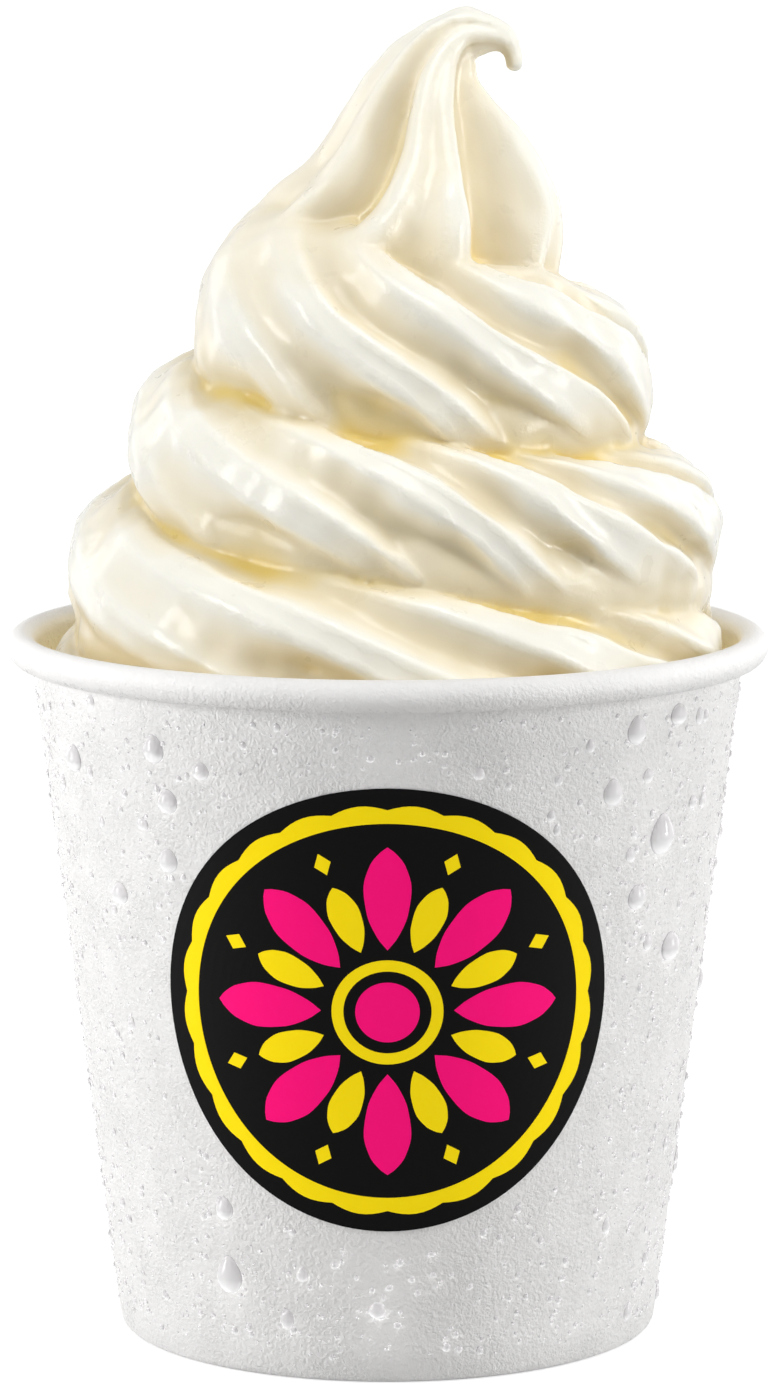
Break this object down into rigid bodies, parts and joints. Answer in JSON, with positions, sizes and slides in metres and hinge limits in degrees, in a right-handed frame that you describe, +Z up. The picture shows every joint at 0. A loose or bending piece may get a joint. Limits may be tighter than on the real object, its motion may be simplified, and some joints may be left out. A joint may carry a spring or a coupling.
{
  "type": "soft serve in a paper cup",
  "caption": "Vanilla soft serve piped in ridged coils to a curled peak, in a tapered paper cup with a rolled rim, a recessed base and a round label.",
  "frame": {"origin": "centre of the foot circle, on the surface the cup stands on", "axes": "+Z up along the cup's axis, the label faces -Y, +X to the right of someone facing the label"},
  "size_m": [0.09, 0.09, 0.1562],
  "materials": {
    "cup_paper": "white coated cup paper, satin, finely frosted and beaded with water",
    "base_board": "white coated board, satin",
    "soft_serve": "ivory soft serve, smooth and wet with soft streaks of gloss",
    "label_paper": "black printed paper with a yellow and pink ornament, satin"
  },
  "bodies": {
    "root": {"cup_sidewall": "cup_paper", "cup_base": "base_board", "soft_serve": "soft_serve", "label": "label_paper"}
  },
  "joints": []
}
